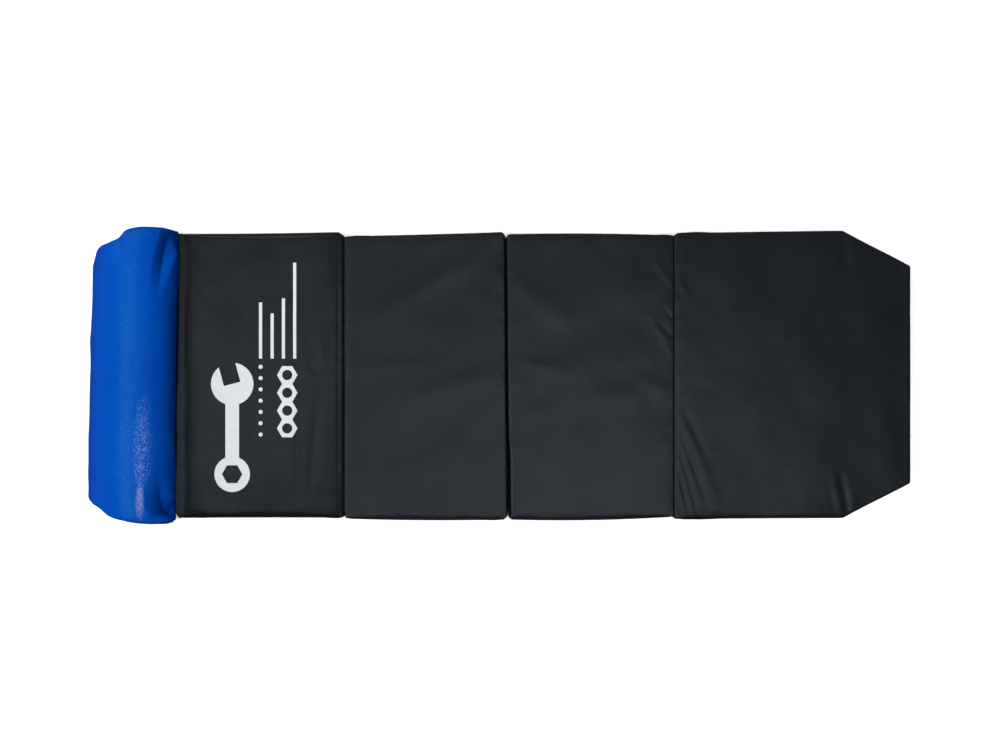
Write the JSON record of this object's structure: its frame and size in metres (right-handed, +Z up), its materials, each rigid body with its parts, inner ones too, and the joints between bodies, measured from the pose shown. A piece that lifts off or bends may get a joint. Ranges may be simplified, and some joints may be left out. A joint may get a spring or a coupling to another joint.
{
  "type": "mechanics creeper mat",
  "caption": "Folding padded mat for lying under a vehicle: flat foam panels joined by fabric hinges, a foot panel with cut corners and a raised head roll.",
  "frame": {"origin": "middle of the open mat's footprint, on the floor", "axes": "+X along the mat from the head roll to the foot panel, +Y across it, +Z up"},
  "size_m": [1.2, 0.434, 0.0797],
  "materials": {
    "black_cover": "satin coated weave",
    "black_backing": "matt coated weave",
    "blue_vinyl": "soft glossy vinyl",
    "foam": "open foam",
    "board": "hardboard",
    "black_thread": "twisted thread",
    "blue_thread": "twisted thread",
    "print_white": "screen print"
  },
  "bodies": {
    "panel_1": {"panel_1_top_cover": "black_cover", "panel_1_bottom_cover": "black_backing", "panel_1_foam": "foam", "panel_1_board": "board", "panel_1_thread": "black_thread", "panel_1_print": "print_white", "panel_1_flap_to_head_roll": "black_backing", "panel_1_flap_to_2": "black_backing"},
    "head_roll": {"head_roll_wrap": "blue_vinyl", "head_roll_base": "blue_vinyl", "head_roll_cap_near": "blue_vinyl", "head_roll_cap_far": "blue_vinyl", "head_roll_foam": "foam", "head_roll_thread_near": "blue_thread", "head_roll_thread_far": "blue_thread", "head_roll_flap": "black_backing"},
    "panel_2": {"panel_2_top_cover": "black_cover", "panel_2_bottom_cover": "black_backing", "panel_2_foam": "foam", "panel_2_board": "board", "panel_2_thread": "black_thread", "panel_2_flap_to_1": "black_backing", "panel_2_flap_to_3": "black_backing"},
    "panel_3": {"panel_3_top_cover": "black_cover", "panel_3_bottom_cover": "black_backing", "panel_3_foam": "foam", "panel_3_board": "board", "panel_3_thread": "black_thread", "panel_3_flap_to_2": "black_backing", "panel_3_flap_to_4": "black_backing"},
    "panel_4": {"panel_4_top_cover": "black_cover", "panel_4_bottom_cover": "black_backing", "panel_4_foam": "foam", "panel_4_board": "board", "panel_4_thread": "black_thread", "panel_4_flap_to_3": "black_backing"}
  },
  "joints": [
    {"name": "head_roll_fold", "type": "hinge", "parent": "panel_1", "child": "head_roll", "pos_m": [-0.4695, 0, -0.0003], "axis": [0, -1, 0], "range_deg": [0, 180]},
    {"name": "fold_1_2", "type": "hinge", "parent": "panel_1", "child": "panel_2", "pos_m": [-0.228, 0, 0.0303], "axis": [0, -1, 0], "range_deg": [0, 180]},
    {"name": "fold_2_3", "type": "hinge", "parent": "panel_2", "child": "panel_3", "pos_m": [0.0095, 0, -0.0003], "axis": [0, 1, 0], "range_deg": [0, 180]},
    {"name": "fold_3_4", "type": "hinge", "parent": "panel_3", "child": "panel_4", "pos_m": [0.2555, 0, 0.0303], "axis": [0, -1, 0], "range_deg": [0, 180]}
  ],
  "couplings": [
    {"joint": "fold_2_3", "follows": "fold_1_2", "ratio": 1},
    {"joint": "fold_3_4", "follows": "fold_1_2", "ratio": 1}
  ]
}
